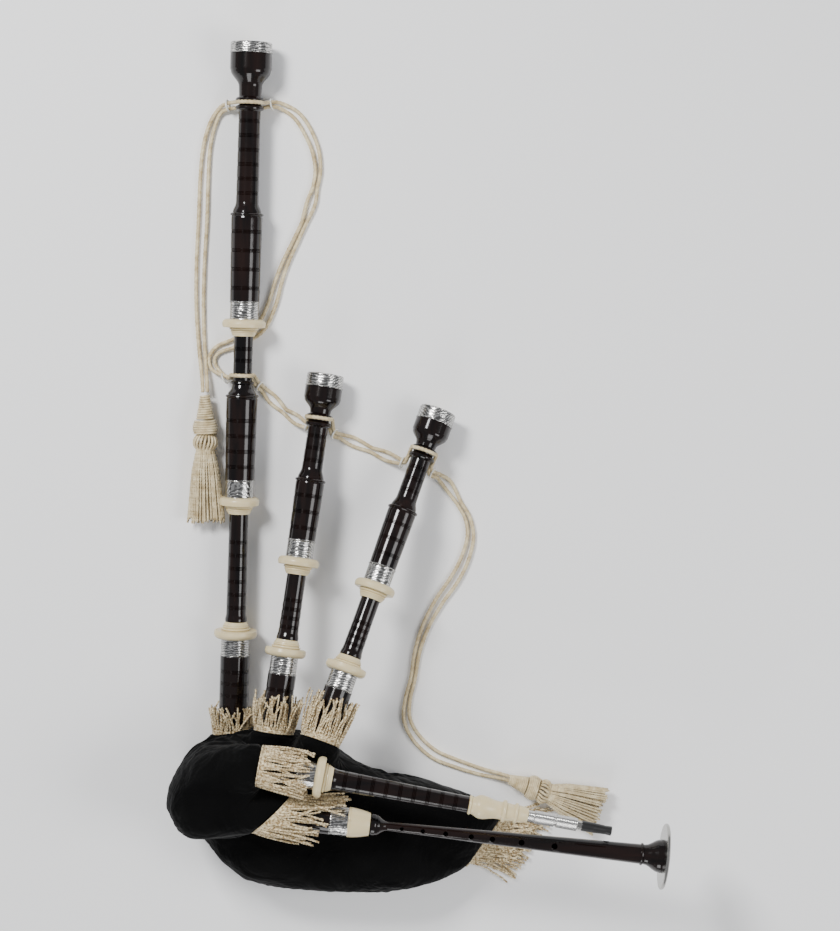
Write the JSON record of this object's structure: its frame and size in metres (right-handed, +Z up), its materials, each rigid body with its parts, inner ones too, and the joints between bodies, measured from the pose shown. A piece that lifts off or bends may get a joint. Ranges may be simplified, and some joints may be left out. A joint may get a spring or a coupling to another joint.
{
  "type": "bagpipes",
  "caption": "Great Highland bagpipes laid flat: velvet-covered bag, bass and two tenor drones on tuning slides, blowpipe with telescopic mouthpiece, chanter, silk cords and tassels.",
  "frame": {"origin": "under the middle of the laid-out instrument, on the surface it lies on", "axes": "+Z up from the table, +Y along the bass drone towards its bell, +X towards the chanter's sole"},
  "size_m": [0.5518, 0.9464, 0.1733],
  "materials": {
    "wood": "polished near-black hardwood",
    "ivory": "cream imitation ivory, polished",
    "silver": "engraved bright metal",
    "velvet": "black velvet",
    "hide": "tanned hide",
    "silk": "straw-gold silk cord and bullion",
    "hemp": "waxed hemp thread",
    "cane": "dry cane",
    "rubber": "black rubber"
  },
  "bodies": {
    "instrument": {"bag": "hide", "bag_cover": "velvet", "stock_bindings": "hemp", "bass_stock": "wood", "tenor_a_stock": "wood", "tenor_b_stock": "wood", "blowpipe_stock": "wood", "chanter_stock": "wood", "stock_ferrules": "silver", "chanter_stock_cup": "ivory", "drone_reeds": "cane", "tenon_hemp": "hemp", "bass_bottom_joint": "wood", "bass_bottom_mount": "ivory", "tenor_a_bottom_joint": "wood", "tenor_a_bottom_mount": "ivory", "tenor_b_bottom_joint": "wood", "tenor_b_bottom_mount": "ivory", "drone_fringes": "silk", "blowpipe_fringe": "silk", "chanter_fringe": "silk", "tail_fringe": "silk", "cord_tail": "silk", "tassel_right": "silk"},
    "bass_middle": {"bass_middle_joint": "wood", "bass_middle_mount": "ivory", "bass_middle_ferrule": "silver", "bass_middle_hemp": "hemp", "cord_bass_middle": "silk"},
    "bass_top": {"bass_top_joint": "wood", "bass_top_mount": "ivory", "bass_top_ferrule": "silver", "bass_ring_cap": "silver", "bass_bell_bush": "ivory", "cord_bass_top": "silk", "tassel_left": "silk"},
    "tenor_a_top": {"tenor_a_top_joint": "wood", "tenor_a_top_mount": "ivory", "tenor_a_top_ferrule": "silver", "tenor_a_ring_cap": "silver", "tenor_a_bell_bush": "ivory", "cord_tenor_a": "silk"},
    "tenor_b_top": {"tenor_b_top_joint": "wood", "tenor_b_top_mount": "ivory", "tenor_b_top_ferrule": "silver", "tenor_b_ring_cap": "silver", "tenor_b_bell_bush": "ivory", "cord_tenor_b": "silk"},
    "blowpipe": {"blowpipe_stick": "wood", "blowpipe_mount": "ivory", "blowpipe_bulb": "ivory", "valve_body": "rubber", "adjusting_sleeve": "silver"},
    "valve_flap": {"valve_flap": "rubber"},
    "lock_collar": {"lock_collar": "silver"},
    "mouthpiece": {"mouthpiece_tube": "silver", "mouthpiece_tip": "rubber"},
    "chanter": {"chanter": "wood", "chanter_sole": "silver", "chanter_reed": "cane"}
  },
  "joints": [
    {"name": "bass_middle_slide", "type": "slide", "parent": "instrument", "child": "bass_middle", "axis": [0.034, 0.9994, 0], "range_m": [-0.012, 0.02]},
    {"name": "bass_top_slide", "type": "slide", "parent": "bass_middle", "child": "bass_top", "axis": [0.034, 0.9994, 0], "range_m": [-0.003, 0.02]},
    {"name": "tenor_a_slide", "type": "slide", "parent": "instrument", "child": "tenor_a_top", "axis": [0.1412, 0.9801, -0.1392], "range_m": [-0.015, 0.01]},
    {"name": "tenor_b_slide", "type": "slide", "parent": "instrument", "child": "tenor_b_top", "axis": [0.3327, 0.9092, -0.2504], "range_m": [-0.015, 0.004]},
    {"name": "blowpipe_turn", "type": "hinge", "parent": "instrument", "child": "blowpipe", "pos_m": [-0.109, -0.319, 0.151], "axis": [0.9826, -0.1857, 0], "continuous": true},
    {"name": "mouthpiece_slide", "type": "slide", "parent": "blowpipe", "child": "mouthpiece", "axis": [0.9826, -0.1857, 0], "range_m": [-0.003, 0.015]},
    {"name": "lock_collar_turn", "type": "hinge", "parent": "blowpipe", "child": "lock_collar", "pos_m": [0.16122, -0.37006, 0.151], "axis": [0.9826, -0.1857, 0], "range_deg": [-180, 180]},
    {"name": "valve_flap_hinge", "type": "hinge", "parent": "blowpipe", "child": "valve_flap", "pos_m": [-0.15509, -0.31029, 0.1572], "axis": [0.1857, 0.9826, 0], "range_deg": [0, 50]},
    {"name": "chanter_turn", "type": "hinge", "parent": "instrument", "child": "chanter", "pos_m": [-0.0745, -0.375, 0.128], "axis": [0.9935, -0.1132, -0.0087], "continuous": true}
  ]
}
